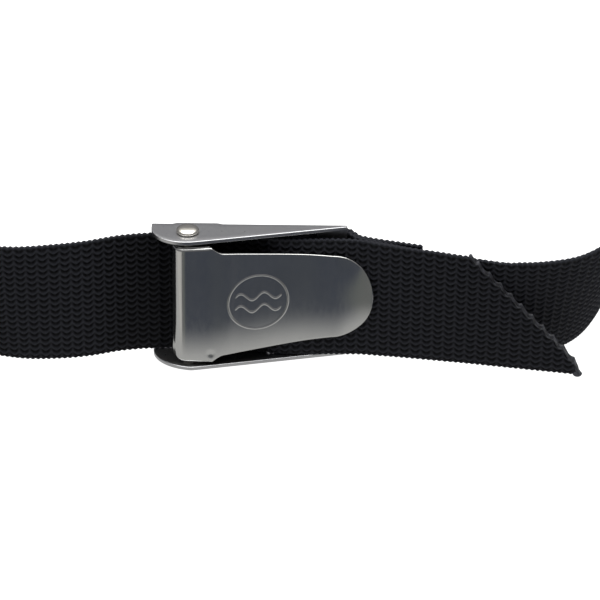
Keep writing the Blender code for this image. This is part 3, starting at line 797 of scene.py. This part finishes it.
def make_frame(mat):
    """The pressed channel: its section swept along it, with the pin's holes and the slots cut."""
    turn = np.radians([0, 30, 60, 90])
    bend, insets = DEBURR * (1 - np.cos(turn)), DEBURR * (1 - np.sin(turn))
    nose = UPPER_NOSE[0] * (1 - np.cos(np.radians(np.linspace(0, 90, 40))))
    middle = np.concatenate([nose[nose > DEBURR], np.arange(13.4, FRAME_LENGTH - 0.6, 0.6)])
    stations = list(zip(bend, insets)) + [(u, 0.0) for u in middle]
    stations += [(FRAME_LENGTH - u, i) for u, i in zip(bend[::-1], insets[::-1])]
    rings = [frame_ring(u, inset) for u, inset in stations]
    ring = len(rings[0])
    points = np.array(rings).reshape(-1, 3)
    half = ring // 2
    caps = []
    for first in (0, (len(rings) - 1) * ring):
        for i in range(half - 1):
            caps.append((first + i, first + i + 1, first + ring - 2 - i, first + ring - 1 - i))
    obj = mesh_object("frame_channel", points, ring_quads(len(rings), ring), caps)
    fix_normals(obj)
    cutters = [pin_hole_cutter(FRAME_HALF * 2)]
    for start, end in SLOTS:
        outline = [(start, -4), (end, -4), (end, 4), (start, 4)]
        cutters.append(flat_solid("slot", outline, side_point, -SLOT_LENGTH / 2, SLOT_LENGTH / 2))
    cut(obj, cutters)
    obj.data.set_sharp_from_angle(angle=math.radians(42))
    obj.data.materials.clear()
    obj.data.materials.append(mat)
    return obj


def head_profile(height, side):
    """A riveted head from its seat to its crown: radius and place along the pin."""
    seat = FRAME_HALF + 0.3
    rim = seat + 0.35
    crown = FRAME_HALF + height - rim
    angles = np.radians(np.linspace(0, 90, 13))[:-1]
    dome = [(HEAD_RADIUS * math.cos(a) ** 0.8, rim + crown * math.sin(a)) for a in angles]
    return [(r, side * v) for r, v in [(SHANK_RADIUS, seat), (HEAD_RADIUS - 0.12, seat)] + dome]


def make_pin(mat):
    """A riveted pin: a shank with a domed head at each end."""
    profile = head_profile(LOWER_HEAD, -1)[::-1] + head_profile(UPPER_HEAD, 1)
    sides = 64
    rings = []
    for radius, v in profile:
        rings += [buckle_point(u, v, h) for u, h in circle((PIN_U, PIN_H), radius, sides)]
    ends = [tuple(range(sides)), tuple(range(len(rings) - sides, len(rings)))]
    obj = mesh_object("riveted_pin", [tuple(p) for p in rings], ring_quads(len(profile), sides), ends)
    fix_normals(obj)
    obj.data.set_sharp_from_angle(angle=math.radians(50))
    obj.data.materials.append(mat)
    return obj


# ------------------------------------------------------------------ stage
def make_floor():
    """A white light table."""
    bpy.ops.mesh.primitive_plane_add(size=16.0, location=(0, 0, -0.0003))
    floor = bpy.context.object
    floor.name = "floor"
    floor.data.materials.append(plain_material("floor_white", (0.30, 0.30, 0.30), 0.8, 3.5))
    floor.visible_glossy = False


def make_light(name, location, size, power):
    """A rectangular softbox that faces the belt's middle."""
    data = bpy.data.lights.new(name, "AREA")
    data.shape = "RECTANGLE"
    data.size, data.size_y = size
    data.energy = power
    light = bpy.data.objects.new(name, data)
    bpy.context.scene.collection.objects.link(light)
    light.location = location
    light.rotation_mode = "QUATERNION"
    light.rotation_quaternion = (-Vector(location)).to_track_quat("-Z", "Y")


# The studio by height, from straight down to straight up, and below the horizon in front by
# direction from left to right: position on the ramp and colour
SKY = ((0.0, (0.25, 0.25, 0.25)), (0.47, (0.10, 0.10, 0.10)), (0.53, (0.20, 0.20, 0.21)),
       (0.76, (0.22, 0.22, 0.23)), (0.86, (0.8, 0.8, 0.79)), (1.0, (1.3, 1.3, 1.28)))
FRONT = ((0.0, (0.62, 0.61, 0.58)), (0.26, (0.62, 0.61, 0.58)), (0.31, (0.11, 0.11, 0.115)),
         (0.36, (0.16, 0.165, 0.16)), (0.455, (0.155, 0.165, 0.155)), (0.475, (0.062, 0.070, 0.095)),
         (0.53, (0.060, 0.068, 0.088)), (0.60, (0.078, 0.086, 0.10)), (0.70, (0.058, 0.066, 0.085)),
         (0.80, (0.2, 0.2, 0.2)), (1.0, (0.45, 0.45, 0.44)))
NEAR_FLOOR = ((-0.30, 0.30), (-0.253, -0.15))      # glossy only: its x range and y range
NEAR_FLOOR_SOFT = 0.022


def colour_ramp(nodes, stops):
    """A colour ramp node with the given positions and colours."""
    ramp = nodes.new("ShaderNodeValToRGB")
    elements = ramp.color_ramp.elements
    elements[0].position, elements[1].position = stops[0][0], stops[-1][0]
    for place, _ in stops[1:-1]:
        elements.new(place)
    for element, (_, colour) in zip(elements, stops):
        element.color = (*colour, 1)
    return ramp


def to_share(nodes, links, value, low, high):
    """A node that maps low to 0 and high to 1."""
    node = nodes.new("ShaderNodeMapRange")
    node.inputs["From Min"].default_value = low
    node.inputs["From Max"].default_value = high
    links.new(value, node.inputs["Value"])
    return node.outputs["Result"]


def make_world():
    """A soft grey studio, brighter overhead, with a dark field in front that the metal reflects."""
    world = bpy.data.worlds.new("studio")
    world.use_nodes = True
    nodes, links = world.node_tree.nodes, world.node_tree.links
    coords = nodes.new("ShaderNodeTexCoord")
    split = nodes.new("ShaderNodeSeparateXYZ")
    links.new(coords.outputs["Generated"], split.inputs["Vector"])
    sky, front = colour_ramp(nodes, SKY), colour_ramp(nodes, FRONT)
    links.new(to_share(nodes, links, split.outputs["Z"], -1.0, 1.0), sky.inputs["Fac"])
    links.new(to_share(nodes, links, split.outputs["X"], -1.0, 1.0), front.inputs["Fac"])
    below = to_share(nodes, links, split.outputs["Z"], -0.05, -0.25)
    ahead = to_share(nodes, links, split.outputs["Y"], 0.30, 0.10)
    both = nodes.new("ShaderNodeMath")
    both.operation = "MULTIPLY"
    links.new(below, both.inputs[0])
    links.new(ahead, both.inputs[1])
    mix = nodes.new("ShaderNodeMixRGB")
    links.new(both.outputs["Value"], mix.inputs["Fac"])
    links.new(sky.outputs["Color"], mix.inputs["Color1"])
    links.new(front.outputs["Color"], mix.inputs["Color2"])
    links.new(mix.outputs["Color"], nodes["Background"].inputs["Color"])
    bpy.context.scene.world = world


def make_near_floor():
    """The bright table right in front of the belt, which only reflections see."""
    (x0, x1), (y0, y1) = NEAR_FLOOR
    corners = [(x0, y0, 0.0), (x1, y0, 0.0), (x1, y1, 0.0), (x0, y1, 0.0)]
    card = mesh_object("near_floor", corners, [(0, 1, 2, 3)])
    mat, nodes, links = new_material("near_floor_white")
    nodes.remove(nodes["Principled BSDF"])
    coords = nodes.new("ShaderNodeTexCoord")
    split = nodes.new("ShaderNodeSeparateXYZ")
    links.new(coords.outputs["Object"], split.inputs["Vector"])
    fade = to_share(nodes, links, split.outputs["Y"], y0, y0 + NEAR_FLOOR_SOFT)
    glow = nodes.new("ShaderNodeEmission")
    glow.inputs["Color"].default_value = (0.52, 0.52, 0.51, 1)
    clear = nodes.new("ShaderNodeBsdfTransparent")
    mix = nodes.new("ShaderNodeMixShader")
    links.new(fade, mix.inputs["Fac"])
    links.new(clear.outputs["BSDF"], mix.inputs[1])
    links.new(glow.outputs["Emission"], mix.inputs[2])
    links.new(mix.outputs["Shader"], nodes["Material Output"].inputs["Surface"])
    card.data.materials.append(mat)
    card.visible_camera = card.visible_diffuse = card.visible_shadow = False


def make_stage():
    """The table, the studio around it and its softbox."""
    make_floor()
    make_near_floor()
    make_world()
    make_light("top_softbox", (0.0, -0.25, 1.7), (2.4, 2.0), 45)
    bpy.context.scene.view_settings.view_transform = "Standard"


# ------------------------------------------------------------------ the belt
def build():
    """Every piece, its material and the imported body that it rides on."""
    # The second colour of each nylon is the painted shade down in the grooves
    nylon = nylon_material("black_nylon", (0.0132, 0.0140, 0.0180), (0.0003, 0.0003, 0.0005), 0.6, 0.12)
    sealed = nylon_material("sealed_nylon", (0.032, 0.033, 0.039), (0.012, 0.012, 0.014), 0.5, 0.3)
    steel = steel_material("frame_steel", (0.55, 0.55, 0.56), 0.30, 0.15)
    lever_steel = steel_material("lever_steel", (0.62, 0.62, 0.61), 0.19, 0.3)
    pin_steel = steel_material("pin_steel", (0.75, 0.72, 0.66), 0.22, 1.0)
    webbing = make_webbing(nylon, sealed)
    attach(webbing, "buckle")
    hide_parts("webbing_free_end", "webbing_left_side", "webbing_back",
                "webbing_right_side", "webbing_slot_fold", "webbing_tail")
    lever = make_lever(lever_steel)
    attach(lever, "lever")
    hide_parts("cam_lever")
    for name, side in (("cheek_upper", 1), ("cheek_lower", -1)):
        cheek = make_cheek(name, side, lever_steel)
        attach(cheek, "lever")
    channel = make_frame(steel)
    pin = make_pin(pin_steel)
    for piece, node, slot in ((channel, "buckle_frame", "frame_steel"), (pin, "hinge_pin", "pin_steel")):
        piece.data.transform(Matrix.Translation((0.0, 0.0, FRAME_RAISE * MM)))
        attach(piece, "buckle")
        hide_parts(node)


build()
make_stage()
